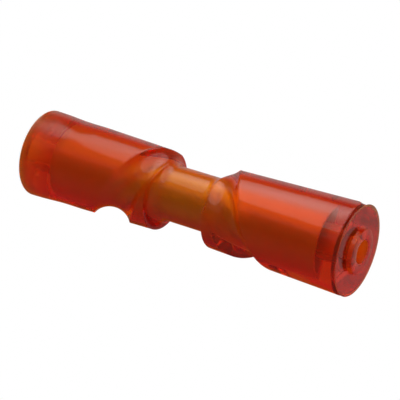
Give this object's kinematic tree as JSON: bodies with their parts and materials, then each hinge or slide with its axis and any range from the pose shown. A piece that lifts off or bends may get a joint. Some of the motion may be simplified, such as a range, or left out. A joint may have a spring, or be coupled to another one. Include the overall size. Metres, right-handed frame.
{
  "type": "boat trailer roller",
  "caption": "Self-centring keel roller for a boat trailer: translucent red-orange cast roller with a narrow waist, opposite spiral flutes, end bosses and a spindle bore.",
  "frame": {"origin": "centre of the lower boss's face, on which the roller stands", "axes": "+Z along the roller's axis; -Y is the side that the picture shows, with its right end upward"},
  "size_m": [0.076, 0.076, 0.313],
  "materials": {
    "casting": "glossy translucent red-orange polyurethane",
    "tube": "drawn steel tube, dull"
  },
  "bodies": {
    "root": {"roller_casting": "casting", "core_tube": "tube"}
  },
  "joints": []
}
